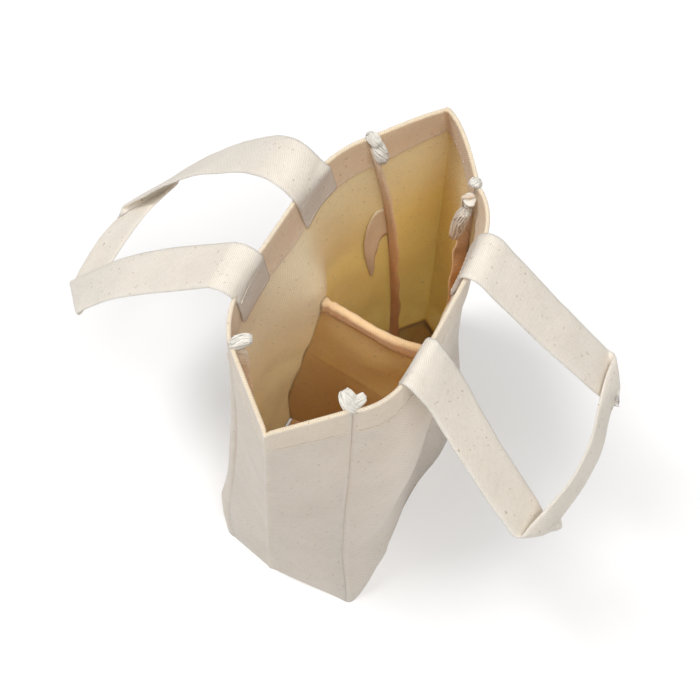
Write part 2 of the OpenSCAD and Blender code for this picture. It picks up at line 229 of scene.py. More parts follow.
# Rolled ends: centre and axis, radius, thickness, turns and rise in millimetres
COILS = {("front", "far"): [((76.4, -36.8, 283), (-0.35, -0.15, 0.92), 3.4, 1.25, 2.2, 1.6),
                            ((77.2, -37, 278), (-0.35, -0.15, 0.92), 3.0, 1.6, 1.0, 0.5)]}
# Places where the front handle's soft folds give way: place, move and reach in millimetres
FRONT_PULLS = [((-47, -168, 187), (0.2, 6.5, 1.5), 21), ((27, -171, 195), (6.8, 9.4, 4.6), 18)]
# Edges of the blank label as it hangs, in millimetres
LABEL_OUTER = [(84, 21, 212), (78, 25, 212), (73.8, 27, 204), (71.1, 28, 194), (70, 29, 174),
               (72.5, 29, 148), (76.7, 29, 121)]
LABEL_INNER = [(86, 21, 175), (83.3, 23.5, 175.4), (80.8, 25, 169.2), (79.8, 26.5, 158.3),
               (78.3, 27.5, 150.3), (78.4, 28.5, 132), (78.2, 29, 119.7)]


# Sums

def mix(a, b, t):
    return a + (b - a) * t


def smooth(t):
    t = np.clip(t, 0, 1)
    return t * t * (3 - 2 * t)


def peak(x, width):
    """One where x is zero, falling softly to nothing over a width."""
    return np.exp(-(x / width) ** 2)


def unit(v):
    return v / np.maximum(np.linalg.norm(v, axis=-1, keepdims=True), 1e-12)


def curve(a, way_a, b, way_b, t):
    """A cubic curve from a to b that sets out and arrives in given ways."""
    start = (2 * t**3 - 3 * t**2 + 1) * a + (t**3 - 2 * t**2 + t) * way_a
    return start + (3 * t**2 - 2 * t**3) * b + (t**3 - t**2) * way_b


def along(table, z):
    """Values of a table's columns at heights z, on a smooth curve through its rows."""
    rows = np.array(table, float) * mm
    zs, values = rows[:, 0], rows[:, 1:]
    slopes = np.gradient(values, zs, axis=0)
    z = np.clip(np.asarray(z, float), zs[0], zs[-1])
    i = np.clip(np.searchsorted(zs, z, side="right") - 1, 0, len(zs) - 2)
    step = (zs[i + 1] - zs[i])[..., None]
    t = (z - zs[i])[..., None] / step
    return curve(values[i], step * slopes[i], values[i + 1], step * slopes[i + 1], t)


def lengths(line):
    """Length along a line up to each of its points."""
    return np.concatenate([[0], np.cumsum(np.linalg.norm(np.diff(line, axis=0), axis=1))])


def sample(at, s, rows):
    """Rows that belong to lengths s, read at other lengths."""
    return np.stack([np.interp(at, s, rows[:, k]) for k in range(rows.shape[1])], -1)


def ripples(seed, a, b, shortest, longest):
    """Smooth random relief of about one unit over surface coordinates a and b."""
    rng = np.random.default_rng(seed)
    total = np.zeros(np.broadcast(a, b).shape)
    count = 14
    for _ in range(count):
        size = math.exp(rng.uniform(math.log(shortest), math.log(longest)))
        angle, phase = rng.uniform(0, math.pi), rng.uniform(0, 2 * math.pi)
        wave = np.sin(2 * math.pi * (a * math.cos(angle) + b * math.sin(angle)) / size + phase)
        total = total + wave * size / longest
    return total / math.sqrt(count) * 1.6


def spread(low, high, step, fine_low=0.0, fine_high=0.0):
    """Even values from low to high with extra ones near either end."""
    count = max(2, int(math.ceil((high - low) / step)) + 1)
    values = list(np.linspace(low, high, count))
    edge = [0.0, 0.25, 0.5, 1.0, 1.6, 2.4]
    values += [low + fine_low * k for k in edge if fine_low]
    values += [high - fine_high * k for k in edge if fine_high]
    nearest = 0.12 * min(step, fine_low or step, fine_high or step)
    kept = [low]
    for value in sorted(values)[1:]:
        if value - kept[-1] > nearest:
            kept.append(value)
    kept[-1] = high
    return np.array(kept)


def pairs(a, b):
    """Two coordinates side by side, spread over one grid."""
    return np.stack(np.broadcast_arrays(a, b), -1)


def rings(a, side, up):
    """Directions at angles a round each point of a line with these side and up directions."""
    return np.cos(a)[None, :, None] * side[:, None] + np.sin(a)[None, :, None] * up[:, None]


# Meshes

def placed(name, data):
    """A new object in the scene."""
    obj = bpy.data.objects.new(name, data)
    bpy.context.scene.collection.objects.link(obj)
    return obj


def grid_faces(rows, cols, wrap_rows):
    """Quads of a grid that closes on itself along its rows or else along its columns."""
    i = np.arange(rows if wrap_rows else rows - 1)[:, None]
    j = np.arange(cols - 1 if wrap_rows else cols)[None, :]
    i2, j2 = (i + 1) % rows, (j + 1) % cols
    quads = np.stack(np.broadcast_arrays(i * cols + j, i * cols + j2, i2 * cols + j2, i2 * cols + j), -1)
    return quads.reshape(-1, 4).tolist()


class Build:
    """Collects points, faces, texture coordinates and a share of painted shade for one mesh."""

    def __init__(self):
        self.points, self.faces, self.uvs, self.depths, self.count = [], [], [], [], 0

    def add(self, points, faces, uvs, depths=None):
        points = points.reshape(-1, 3)
        self.points.append(points)
        self.faces.extend([k + self.count for k in face] for face in faces)
        self.uvs.append(uvs.reshape(-1, 2))
        self.depths.append(np.zeros(len(points)) if depths is None else depths.ravel())
        self.count += len(points)

    def grid(self, points, uvs, depths=None, wrap_rows=False):
        """A closed grid, with one face over each of its two open ends."""
        rows, cols = points.shape[:2]
        ids = np.arange(rows * cols).reshape(rows, cols)
        first, last = (ids[:, 0], ids[:, -1]) if wrap_rows else (ids[0], ids[-1])
        caps = [first[::-1].tolist(), last.tolist()]
        self.add(points, grid_faces(rows, cols, wrap_rows) + caps, uvs, depths)

    def tube(self, path, radius, sides):
        """A closed tube with rounded ends round a path."""
        n = len(path)
        way = unit(np.gradient(path, axis=0))
        ref = np.where(np.abs(way[:, 2:3]) > 0.9, [[1.0, 0, 0]], [[0, 0, 1.0]])
        side = unit(np.cross(way, ref))
        for k in range(1, n):
            turned = side[k - 1] - way[k] * (side[k - 1] @ way[k])
            side[k] = turned / max(np.linalg.norm(turned), 1e-9)
        a = 2 * math.pi * np.arange(sides) / sides
        points = path[:, None] + rings(a, side, np.cross(way, side)) * radius
        tip = radius * 0.6
        points = np.vstack([points.reshape(-1, 3), path[:1] - way[:1] * tip, path[-1:] + way[-1:] * tip])
        first, last = n * sides, n * sides + 1
        caps = [[(j + 1) % sides, j, first] for j in range(sides)]
        caps += [[(n - 1) * sides + j, (n - 1) * sides + (j + 1) % sides, last] for j in range(sides)]
        uvs = pairs(lengths(path)[:, None], a * radius)
        uvs = np.vstack([uvs.reshape(-1, 2), np.zeros((2, 2))])
        self.add(points, grid_faces(n, sides, False) + caps, uvs)

    def object(self, name, material, painted_shade=None):
        """The finished mesh; the optional function gives the shares of painted shade from the points."""
        mesh = bpy.data.meshes.new(name)
        points, uvs = np.vstack(self.points), np.vstack(self.uvs)
        values = np.concatenate(self.depths) if painted_shade is None else painted_shade(points)
        mesh.from_pydata(points.tolist(), [], self.faces)
        corner_uvs = uvs[np.concatenate(self.faces)].astype(np.float32)
        mesh.uv_layers.new(name="UVMap").data.foreach_set("uv", corner_uvs.ravel())
        depth = mesh.attributes.new("painted_shade_share", "FLOAT", "POINT")
        depth.data.foreach_set("value", np.asarray(values, np.float32))
        mesh.polygons.foreach_set("use_smooth", np.ones(len(mesh.polygons), bool))
        mesh.update()
        mesh.materials.append(material)
        return placed(name, mesh)


# Materials

class Nodes:
    """Short calls for the nodes of one new material."""

    def __init__(self, name):
        self.material = bpy.data.materials.new(name)
        self.material.use_nodes = True
        self.tree = self.material.node_tree
        self.tree.nodes.clear()

    def put(self, socket, value):
        if isinstance(value, bpy.types.NodeSocket):
            self.tree.links.new(value, socket)
        else:
            socket.default_value = value

    def add(self, kind, inputs=None, **settings):
        """A node with its settings, and its inputs by name or number."""
        made = self.tree.nodes.new(kind)
        for key, value in settings.items():
            setattr(made, key, value)
        for key, value in (inputs or {}).items():
            self.put(made.inputs[key], value)
        return made

    def math(self, operation, a, b=0.0, c=0.0):
        return self.add("ShaderNodeMath", {0: a, 1: b, 2: c}, operation=operation).outputs[0]

    def noise(self, vector, scale, detail=2.0, roughness=0.5):
        inputs = {"Vector": vector, "Scale": scale, "Detail": detail, "Roughness": roughness}
        return self.add("ShaderNodeTexNoise", inputs).outputs["Fac"]

    def range(self, value, low, high, to_low=0.0, to_high=1.0):
        inputs = {"Value": value, "From Min": low, "From Max": high, "To Min": to_low, "To Max": to_high}
        return self.add("ShaderNodeMapRange", inputs, clamp=True).outputs[0]

    def wave(self, length, pitch):
        """A sine of a length over a pitch."""
        return self.math("SINE", self.math("MULTIPLY", length, 2 * math.pi / pitch))

    def blend(self, a, b, share):
        return self.add("ShaderNodeMix", {0: share, 6: a, 7: b}, data_type="RGBA").outputs[2]

    def scaled(self, colour, factor):
        grey = self.add("ShaderNodeCombineColor", {0: factor, 1: factor, 2: factor}).outputs[0]
        inputs = {0: 1.0, 6: colour, 7: grey}
        return self.add("ShaderNodeMix", inputs, data_type="RGBA", blend_type="MULTIPLY").outputs[2]

    def bump(self, height, strength, distance):
        inputs = {"Height": height, "Strength": strength, "Distance": distance}
        return self.add("ShaderNodeBump", inputs)

    def cloth_places(self):
        """The cloth's coordinates, their two parts, the place in space and the share of painted shade."""
        uv = self.add("ShaderNodeUVMap", uv_map="UVMap").outputs[0]
        parts = self.add("ShaderNodeSeparateXYZ", {0: uv}).outputs
        solid = self.add("ShaderNodeTexCoord").outputs["Object"]
        inside = self.add("ShaderNodeAttribute", attribute_name="painted_shade_share").outputs["Fac"]
        return uv, parts[0], parts[1], solid, inside

    def surface(self, shader):
        """The material, with a shader on its surface."""
        self.add("ShaderNodeOutputMaterial", {"Surface": shader.outputs[0]})
        return self.material


def cloth_material(name, colour, deep_shade=None, twill=(2.0, 1.0), twill_pitch=2.88 * mm, contrast=0.14,
                   speck=0.5, through=0.0):
    """Woven cotton: twill ridges, yarns, slubs, seed specks and mottling, in metres of cloth."""
    n = Nodes(name)
    uv, u, v, solid, inside = n.cloth_places()
    yarn_pitch = 0.72 * mm
    speck_colour = (0.36, 0.25, 0.15, 1)

    wander = n.math("MULTIPLY", n.noise(uv, 160.0), 0.9)
    slant = n.math("ADD", n.math("MULTIPLY", u, twill[0]), n.math("MULTIPLY", v, twill[1]))
    phase = n.math("ADD", n.math("DIVIDE", slant, twill_pitch), wander)
    ridge = n.math("MULTIPLY_ADD", n.wave(phase, 1), 0.5, 0.5)
    yarns = n.math("MULTIPLY", n.wave(u, yarn_pitch), n.wave(v, yarn_pitch))
    stretch = n.add("ShaderNodeMapping", {0: uv, "Scale": (0.25, 1.0, 1.0)}, vector_type="POINT")
    slub = n.noise(stretch.outputs[0], 900.0, 2.0, 0.7)
    patch = n.noise(solid, 38.0, 3.0, 0.6)
    fine = n.noise(solid, 420.0, 2.0, 0.6)
    seed = n.range(n.noise(solid, 380.0, 1.0), 0.70, 0.76)

    value = n.math("MULTIPLY_ADD", ridge, contrast, 1.0 - contrast / 2)
    for shade, high, change in ((patch, 0.7, 0.04), (slub, 0.75, 0.03), (fine, 0.7, 0.025)):
        value = n.math("MULTIPLY", value, n.range(shade, 0.3, high, 1 - change, 1 + change))
    # Painted shade: the colour turns to the shade colour by the mesh's share of painted shade
    base = n.scaled(n.blend(colour, deep_shade or colour, inside), value)
    base = n.blend(base, speck_colour, n.math("MULTIPLY", seed, speck))

    height = n.math("ADD", n.math("MULTIPLY", ridge, 0.5), n.math("MULTIPLY", yarns, 0.12))
    height = n.math("ADD", height, n.math("MULTIPLY", slub, 0.6))
    fine_bump = n.bump(height, 0.6, 0.25 * mm)
    soft_bump = n.bump(n.noise(solid, 90.0, 3.0, 0.55), 0.35, 1.2 * mm)
    n.put(soft_bump.inputs["Normal"], fine_bump.outputs[0])
    return n.surface(n.add("ShaderNodeBsdfPrincipled", {
        "Base Color": base, "Normal": soft_bump.outputs[0], "Roughness": 0.92, "Specular IOR Level": 0.2,
        "Sheen Weight": 0.12, "Sheen Roughness": 0.5, "Subsurface Weight": through,
        "Subsurface Radius": (1.0, 1.0, 0.95), "Subsurface Scale": 5.0 * mm}))


def thread_material(name, colour, deep_shade):
    """Spun cotton thread: plies along the strand and a little fuzz of shade."""
    n = Nodes(name)
    uv, u, v, solid, inside = n.cloth_places()
    twist = n.math("ADD", u, n.math("MULTIPLY", v, 1.2))
    ply = n.math("MULTIPLY_ADD", n.wave(twist, 0.8 * mm), 0.5, 0.5)
    fuzz = n.range(n.noise(solid, 500.0), 0.3, 0.7, 0.92, 1.06)
    value = n.math("MULTIPLY", fuzz, n.range(ply, 0, 1, 0.93, 1.03))
    # Painted shade: the thread's colour turns to its shade colour by the mesh's share of painted shade
    return n.surface(n.add("ShaderNodeBsdfPrincipled", {
        "Base Color": n.scaled(n.blend(colour, deep_shade, inside), value), "Roughness": 0.85,
        "Normal": n.bump(ply, 0.5, 0.15 * mm).outputs[0], "Specular IOR Level": 0.25, "Sheen Weight": 0.2}))


# Painted shade: a warm, dark colour standing in for light bouncing inside the bag, which the canvas and the
# sewing thread turn to by their share of painted shade
canvas_painted_shade = (0.98, 0.575, 0.20, 1)
canvas = cloth_material("cotton_canvas", (0.81, 0.685, 0.555, 1), deep_shade=canvas_painted_shade, through=1.0)
webbing = cloth_material("cotton_webbing", (0.81, 0.735, 0.64, 1), twill=(1.0, 1.0), twill_pitch=1.5 * mm,
                         contrast=0.16, through=0.6)
# The overlock thread's second colour is painted shade as well
overlock = thread_material("overlock_thread", (0.92, 0.88, 0.80, 1), (0.90, 0.58, 0.27, 1))
sewing = thread_material("sewing_thread", (0.83, 0.76, 0.66, 1), canvas_painted_shade)
tape = cloth_material("label_tape", (0.97, 0.85, 0.60, 1), twill=(1.0, 0.0), twill_pitch=0.6 * mm,
                      contrast=0.03, speck=0.0)


# Surfaces of the bag, before their thickness; near and far are its ends along X

def line_point(table, z):
    """Place at heights z on the line that a table of X and Y gives."""
    return np.concatenate([along(table, z), np.asarray(z, float)[..., None]], -1)


def seam_point(side, end, z):
    return line_point(SEAMS[side, end], z)


def between(z, above_foot, under_rim):
    """Nothing at the foot and at the rim, and one between."""
    return smooth(z / above_foot) * smooth((rim_z - z) / under_rim)


def base_fold(z, top, out):
    """Relief of the base's diagonal fold: up to its line at the height top, then fading above it."""
    top = np.maximum(top, 0)
    below = np.clip(z / np.maximum(top, mm), 0, 1)
    above = peak(np.maximum(z - top, 0), fold_fade)
    return out * np.where(z < top, below, above) * smooth(top / fold_rise)


def panel_surface(side, u, z):
    """Outer face of a panel; u runs from -1 at its near seam to 1 at its far one."""
    u, z = np.broadcast_arrays(np.asarray(u, float), np.asarray(z, float))
    near, far = seam_point(side, "near", z), seam_point(side, "far", z)
    p = mix(near, far, ((u + 1) / 2)[..., None])
    bows = along(BOWS[side], z)
    bow = mix(bows[..., 0], bows[..., 1], smooth((u - draw_u) / draw_reach / 2 + 0.5))
    rolls = along(ROLLS[side], z)
    roll = mix(rolls[..., 0], rolls[..., 1], smooth(u / 2 + 0.5))
    half = np.linalg.norm(far - near, axis=-1) / 2
    from_seam = 1 - np.abs(u)
    e = np.clip(from_seam * half, 0, roll_r)
    turned = np.sqrt(np.maximum(1 - (1 - e / roll_r) ** 2, 0))
    bow = (bow - roll) * (1 - np.abs(u) ** BOW_POWERS[side]) + roll * turned
    draw = along(DRAWS[side], z)[..., 0] * peak(u - draw_u, draw_reach)
    p[..., 1] += SIDES[side] * (bow - draw)
    relief = ripples(11 if side == "front" else 12, p[..., 0], z, *panel_ripples) * panel_relief
    p[..., 1] += SIDES[side] * relief * smooth(from_seam / 0.25) * between(z, *panel_calm)
    fold = base_fold(z, base_fold_z - from_seam * half, panel_fold)
    p[..., 1] += SIDES[side] * fold * smooth(from_seam / 0.1)
    return p


def gusset_surface(end, w, z):
    """Outer face of a gusset; w runs from -1 at its front seam to 1 at its back one."""
    w, z = np.broadcast_arrays(np.asarray(w, float), np.asarray(z, float))
    front, back = seam_point("front", end, z), seam_point("back", end, z)
    aside = np.abs(w)
    p = mix(line_point(CREASES[end], z), np.where((w < 0)[..., None], front, back), aside[..., None])
    out = ENDS[end]
    p[..., 0] += out * np.sin(math.pi * aside) * gusset_bulge * between(z, *bulge_calm)
    relief = ripples(21 if end == "near" else 22, p[..., 1], z, *gusset_ripples) * gusset_relief
    calm = smooth(aside / 0.2) * smooth((1 - aside) / 0.2) * between(z, *gusset_calm)
    p[..., 0] += out * relief * calm
    fold = base_fold(z, base_fold_z * aside, gusset_fold) * smooth((1 - aside) / 0.25)
    p[..., 0] += out * fold * np.where(w < 0, 1.0, 0.4)
    if end == "far":
        belly = np.sin(math.pi * aside**0.6) * smooth((z - belly_from) / belly_rise) * mm
        p[..., :2] += belly[..., None] * np.where((w < 0)[..., None], *RIM_BELLIES)
    return p


def inward(surface, into, a, z, scale):
    """Unit normals of a surface by small steps, turned to the side that the direction into lies on."""
    z = np.clip(z, rim_step, rim_z - rim_step)
    da = surface(a + slope_step * scale, z) - surface(a - slope_step * scale, z)
    dz = surface(a, z + slope_step) - surface(a, z - slope_step)
    n = unit(np.cross(da, dz))
    return np.where((n @ np.array(into, float) < 0)[..., None], -n, n)


def panel_inward(side, u, z):
    return inward(lambda a, b: panel_surface(side, a, b), (0, -SIDES[side], 0), u, z, 10.0)


def gusset_inward(end, w, z):
    return inward(lambda a, b: gusset_surface(end, a, b), (-ENDS[end], 0, 0), w, z, 20.0)


def panel_u(side, x, z):
    """Where x lies between a panel's seams at heights z."""
    near, far = seam_point(side, "near", z)[..., 0], seam_point(side, "far", z)[..., 0]
    return 2 * (x - near) / (far - near) - 1


def inner_y(side, x, z, thick):
    """Y of a panel's inner face, for a cloth so thick, where it is cut at x and z."""
    return panel_surface(side, np.clip(panel_u(side, x, z), -1, 1), z)[..., 1] - SIDES[side] * thick


def groove(e):
    """How far cloth at a distance e from a seam turns in."""
    e = np.clip(e, 0, groove_r)
    return groove_r - np.sqrt(np.maximum(groove_r**2 - (groove_r - e) ** 2, 0))


def hem_profile():
    """Rows of a hemmed wall from its foot up over the rim and down: height, depth, lift and length."""
    r = hem_t / 2
    top = rim_z - r
    rows = [(z, 0.0, 0.0) for z in spread(0.0, top, cloth_step, foot_step, rim_step)]
    rows += [(top, r - r * math.cos(a), r * math.sin(a)) for a in np.linspace(0, math.pi, 9)[1:-1]]
    rows += [(z, hem_t + hem_flare * math.exp(-(z - hem_z) / flare_fade), 0.0)
             for z in spread(hem_z, top, cloth_step, hem_edge_step, rim_step)[::-1]]
    step = hem_t + hem_flare - cloth_t
    rows += [(hem_z - hem_edge_r, cloth_t + step * k, 0.0) for k in (0.85, 0.5, 0.15)]
    inner = spread(0.0, hem_z - hem_edge_gap, cloth_step, 0, under_hem_step)
    rows += [(z, cloth_t, 0.0) for z in inner[::-1]]
    rows = np.array(rows)
    return rows[:, 0], rows[:, 1], rows[:, 2], lengths(rows)


def hem_relief(a, z, d):
    """Small puckers that the hem's stitching pulls into its inner face."""
    near = peak(z - hem_z - hem_stitch_h, pucker_fade) * (d > cloth_t)
    return near * (pucker_h * np.sin(2 * math.pi * a / pucker_pitch) - pucker_sink)


def painted_inner_shade(z, d):
    """How far inside the bag a point lies, from 0 at the hem to 1 far down, as its share of painted shade.
    """
    deep_shade = smooth((hem_z - z) / cloth_shade_l) * 0.55 + np.where(z < hem_z, 0.45, 0.15)
    return np.where(d > 0.6 * cloth_t, deep_shade, 0.0)


def painted_edge_shade(points):
    """The painted warm shade of threads and edges inside the bag, by their height."""
    z = points[:, 2]
    below_hem = smooth((hem_z - z) / edge_shade_l)
    below_rim = smooth((rim_z - seam_rim_gap - z) / edge_top_shade_l)
    return np.clip(0.35 + below_hem * 0.35 + below_rim * 0.3, 0, 1)


# Cloth pieces

def hem_grid(a):
    """A hemmed wall's grid over places a: those places, height, depth, lift and length."""
    z, d, lift, length = hem_profile()
    aa, zz = np.meshgrid(a, z)
    return [aa, zz] + [np.broadcast_to(q[:, None], aa.shape) for q in (d, lift, length)]


def panel(side):
    """A panel with its hem: one closed sheet, its long edges turned in at the seams."""
    uu, zz, dd, ll, run = hem_grid(spread(-1.0, 1.0, 0.042, 0.008, 0.008))
    half = np.linalg.norm(panel_surface(side, 1, zz) - panel_surface(side, -1, zz), axis=-1) / 2
    e = (1 - np.abs(uu)) * half
    p = panel_surface(side, uu, zz)
    p = p + panel_inward(side, uu, zz) * (dd + hem_relief(uu * half, zz, dd))[..., None]
    p[..., 1] -= SIDES[side] * groove(e)
    p[..., 0] += np.sign(-uu) * groove_gap * (e < panel_edge_w)
    p[..., 2] += ll
    # Painted shade on the panel's inner face, stronger towards its far seam
    painted_shade = painted_inner_shade(zz, dd) * mix(0.6, 1.1, smooth((uu + 0.1) / 0.6))
    b = Build()
    b.grid(p, pairs(uu * half, run), painted_shade, wrap_rows=True)
    return b.object(side + "_panel_cloth", canvas)


def gusset_wall(end, w):
    """A gusset with its hem: its points, texture coordinates and shares of painted shade, in rows from the
    foot up.
    """
    ww, zz, dd, ll, run = hem_grid(w)
    out = ENDS[end]
    aside = np.abs(ww)
    n = gusset_inward(end, ww, zz)
    n[..., 2] = 0
    near_crease = smooth(aside * base_half_w / (1.3 * dd + crease_r))[..., None]
    n = unit(mix(np.array([-1.0 * out, 0.0, 0.0]), unit(n), near_crease))
    seam = np.where((ww < 0)[..., None], seam_point("front", end, zz), seam_point("back", end, zz))
    half_w = np.linalg.norm(line_point(CREASES[end], zz) - seam, axis=-1)
    into = unit(np.stack([np.full_like(ww, -out * 0.35), -np.sign(ww) * 0.92, np.zeros_like(ww)], -1))
    p = gusset_surface(end, ww, zz) + n * (dd + hem_relief(ww * half_w, zz, dd))[..., None]
    p = p + into * groove((1 - aside) * half_w)[..., None]
    p[..., 0] += out * peak(ww, 0.05) * crease_ridge * (dd < 0.5 * cloth_t)
    round_foot = foot_r - np.sqrt(np.maximum(foot_r**2 - np.clip(foot_r - zz, 0, foot_r) ** 2, 0))
    p[..., 0] -= out * round_foot * smooth((1 - aside) / 0.2)
    p[..., 2] += ll
    # Painted shade on the gusset's inner face, a third stronger than on the panels
    return p, pairs(ww * half_w, -out * run), np.clip(painted_inner_shade(zz, dd) * 1.3, 0, 1.1)


def strip():
    """Near gusset, base and far gusset as one closed sheet, hemmed at both ends."""
    w = spread(-1.0, 1.0, 0.06, 0.03, 0.03)
    w = np.unique(np.concatenate([w, [-0.08, -0.05, -0.03, -0.015, 0.0, 0.015, 0.03, 0.05, 0.08]]))
    near, far = gusset_wall("near", w), gusset_wall("far", w)
    depth = hem_profile()[1]
    outer = int(np.argmax(depth > 0))
    ws, ss = np.meshgrid(w, np.linspace(0, 1, 60)[1:-1])

    def base_rows(row, lift):
        q = mix(near[0][row][None], far[0][row][None], ss[..., None])
        front_y = panel_surface("front", 2 * ss - 1, 0)[..., 1] + base_inset
        back_y = panel_surface("back", 2 * ss - 1, 0)[..., 1] - base_inset
        keep = smooth(np.abs(ws)) * smooth(np.minimum(ss, 1 - ss) / 0.05)
        q[..., 1] = mix(q[..., 1], np.where(ws < 0, front_y, back_y) * np.abs(ws), keep)
        uneven = base_relief * (1 + ripples(5, q[..., 0], q[..., 1], *base_ripples))
        q[..., 2] = lift + uneven * (lift > 0)
        return q

    def joined(part, under, above):
        """Rows down the near wall's outside, under the base, up and over the far wall, and back inside."""
        a, c = near[part], far[part]
        return np.concatenate([a[:outer][::-1], under, c, above[::-1], a[outer:][::-1]])

    flat = pairs(ws * base_half_w, ss * base_l)
    points = joined(0, base_rows(0, 0.0), base_rows(-1, cloth_t))
    b = Build()
    # The base's inner face takes full painted shade, its outer face none
    b.grid(points, joined(1, flat, flat), joined(2, 0 * ws, 0 * ws + 1), wrap_rows=True)
    return b.object("gusset_strip_cloth", canvas)


def divider_middle(p, z):
    """The divider's middle; p runs from 0 at the back panel to 1 at the front one."""
    low = np.clip(z, 0, divider_top)
    x = mix(divider_foot_x, divider_top_x, low / divider_top)
    back, front = [panel_surface(side, panel_u(side, x, low), low) for side in ("back", "front")]
    back[..., 1] -= cloth_t
    front[..., 1] += cloth_t
    front[..., 1] += divider_end_gap * smooth((z - divider_top + divider_hem_h) / divider_hem_rise)
    place = mix(back, front, p[..., None])
    calm = smooth(np.minimum(p, 1 - p) / 0.12)
    place[..., 0] += ripples(31, p * divider_w, z, *divider_ripples) * divider_relief * calm
    place[..., 0] -= divider_sag * np.sin(math.pi * p) * smooth(z / divider_top)
    return place, calm


def divider():
    """The divider with a puffed hem along its top edge."""
    top_r = divider_puff / 2
    low = divider_top - divider_hem_h
    half = [(z, cloth_t / 2) for z in spread(cloth_t, low - rim_step, cloth_step)]
    half += [(mix(low - hem_edge_step, divider_top - top_r, k), mix(cloth_t * 0.8, top_r, smooth(k / 0.55)))
             for k in np.linspace(0, 1, 14)]
    half += [(divider_top - top_r + top_r * math.sin(a), top_r * math.cos(a))
             for a in np.linspace(0.2, math.pi / 2, 7)]
    loop = np.array([(z, -h) for z, h in half] + [(z, h) for z, h in half[::-1][1:]])
    pp, zz = np.meshgrid(np.linspace(0, 1, 64), loop[:, 0])
    hh, run = [np.broadcast_to(q[:, None], zz.shape) for q in (loop[:, 1], lengths(loop))]
    place, calm = divider_middle(pp, zz)
    from_crease = zz - divider_crease_z - divider_crease_drop * (0.5 - pp)
    place[..., 0] -= peak(from_crease, divider_crease_w) * divider_crease * calm
    in_hem = smooth((zz - low) / divider_hem_rise)
    wave = np.sin(pp * 46) * 0.5 + np.sin(pp * 21 + 1) * 0.5
    pucker = (peak(pp, 0.16) + 0.5 * peak(1 - pp, 0.1)) * np.sin(pp * 70)
    place[..., 0] += hh * (1 + 0.07 * wave * in_hem + 0.22 * pucker * in_hem)
    place[..., 2] = zz + in_hem * (0.15 * wave - 0.8) * mm * np.sin(math.pi * pp)
    # Painted shade on the divider, deeper further below its top
    below = divider_top - zz
    painted_shade = mix(0.5, 0.85, smooth(below / divider_top_shade_l)) + 0.3 * smooth(below / divider_shade_l)
    b = Build()
    b.grid(place, pairs(pp * divider_w, run), painted_shade, wrap_rows=True)
    return b.object("divider_cloth", canvas)


# Straps

def spun(v, axis, angle):
    """Vectors turned round an axis."""
    c, s = math.cos(angle), math.sin(angle)
    return v * c + np.cross(axis, v) * s + axis * (axis @ v) * (1 - c)


def route(points, step):
    """A smooth line through points in millimetres, in even steps, in metres, and its lengths."""
    p = np.array(points, float) * mm
    p = np.vstack([2 * p[0] - p[1], p, 2 * p[-1] - p[-2]])
    t = np.linspace(0, 1, 24, endpoint=False)[:, None]
    parts = [curve(b, (c - a) / 2, c, (d - b) / 2, t) for a, b, c, d in zip(p, p[1:], p[2:], p[3:])]
    line = np.vstack(parts + [p[-2:-1]])
    s = lengths(line)
    even = np.linspace(0, s[-1], max(2, int(round(s[-1] / step)) + 1))
    return sample(even, s, line), even


class Leg:
    """A stretch of webbing from a root to a corner, as a ruled surface."""

    def __init__(self, points, twist):
        self.line, self.s = route(points, strap_step)
        self.way = unit(np.gradient(self.line, axis=0))
        self.way[-6:] = unit(self.line[-1] - self.line[-7])
        x = np.array([1.0, 0, 0])
        across = unit(x - self.way * (self.way @ x)[:, None])
        turns = twist * deg * smooth(self.s / self.s[-1])
        self.across = np.array([spun(w, t, angle) for w, t, angle in zip(across, self.way, turns)])

    def at(self, s, v):
        past = np.maximum(s - self.s[-1], 0)[..., None]
        across = unit(sample(s, self.s, self.across))
        return sample(s, self.s, self.line) + self.way[-1] * past + across * v[..., None]


class Fold:
    """A diagonal fold at a leg's end that sends the webbing off in a new direction."""

    def __init__(self, leg, towards):
        t, w = leg.way[-1], leg.across[-1]
        w = unit(w - t * (w @ t))
        n = np.cross(t, w)
        d = unit(np.array(towards, float))
        f = unit(np.cross(n, t - d))
        self.f = f if f @ t > 0 else -f
        self.e = unit(t - self.f * (t @ self.f))
        d_in = unit(d - self.f * (d @ self.f))
        angle = math.acos(np.clip(self.e @ d_in, -1, 1))
        self.angle = angle if d_in @ n > 0 else 2 * math.pi - angle
        self.m = n
        self.cos, self.sin = self.f @ t, self.f @ w
        self.start = leg.line[-1]
        r, a = fold_r, self.angle
        e2 = math.cos(a) * self.e + math.sin(a) * self.m
        self.begin = self.start + (r * math.sin(a) - r * a * math.cos(a)) * self.e
        self.begin = self.begin + (r * (1 - math.cos(a)) - r * a * math.sin(a)) * self.m
        self.ge, self.gw = self.e @ t, self.e @ w
        self.way = self.cos * self.f + self.ge * e2
        self.across = self.sin * self.f + self.gw * e2

    def distance(self, s, v):
        """Distance past the fold's line, with s measured from it along the webbing."""
        return s * self.ge + v * self.gw

    def wrap(self, s, v):
        """Points on the round of the fold."""
        a = (s * self.cos + v * self.sin)[..., None]
        turn = (self.distance(s, v) / fold_r)[..., None]
        return self.start + a * self.f + fold_r * (np.sin(turn) * self.e + (1 - np.cos(turn)) * self.m)


